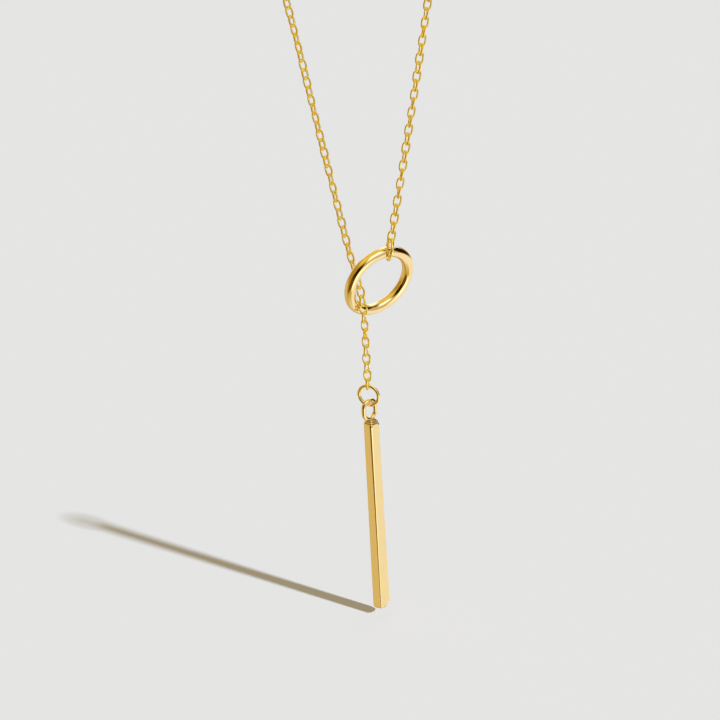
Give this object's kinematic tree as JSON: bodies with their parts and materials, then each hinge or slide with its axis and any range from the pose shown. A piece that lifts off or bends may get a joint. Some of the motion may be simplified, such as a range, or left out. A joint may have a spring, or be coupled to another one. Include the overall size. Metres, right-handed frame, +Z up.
{
  "type": "y necklace",
  "caption": "Fine cable chain lariat: one end carries a plain ring, the other runs through it and ends in a square bar drop that hangs and swings.",
  "frame": {"origin": "the middle of the chain at the nape, where the necklace hangs on the wearer's neck", "axes": "+Z up, -Y the wearer's front, +X the viewer's right as the necklace is seen from the front"},
  "size_m": [0.1178, 0.1346, 0.2798],
  "materials": {
    "chain_gold": "polished gold plating",
    "ring_gold": "polished gold plating",
    "jump_ring_gold": "polished gold plating",
    "bar_gold": "polished gold plating"
  },
  "bodies": {
    "necklace": {"left_chain": "chain_gold", "right_chain": "chain_gold", "nape_chain": "chain_gold", "ring": "ring_gold", "ring_jump_ring": "jump_ring_gold"},
    "drop_ring": {"drop_jump_ring": "jump_ring_gold"},
    "bar": {"bar_drop": "bar_gold"}
  },
  "joints": [
    {"name": "drop_ring_on_tail", "type": "hinge", "parent": "necklace", "child": "drop_ring", "pos_m": [-0.0018, -0.132, -0.2355], "axis": [-0.4142, -0.9102, 0], "range_deg": [-60, 60]},
    {"name": "bar_on_drop_ring", "type": "hinge", "parent": "drop_ring", "child": "bar", "pos_m": [-0.0018, -0.132, -0.23867], "axis": [-0.9102, 0.4142, 0], "range_deg": [-110, 110]}
  ]
}
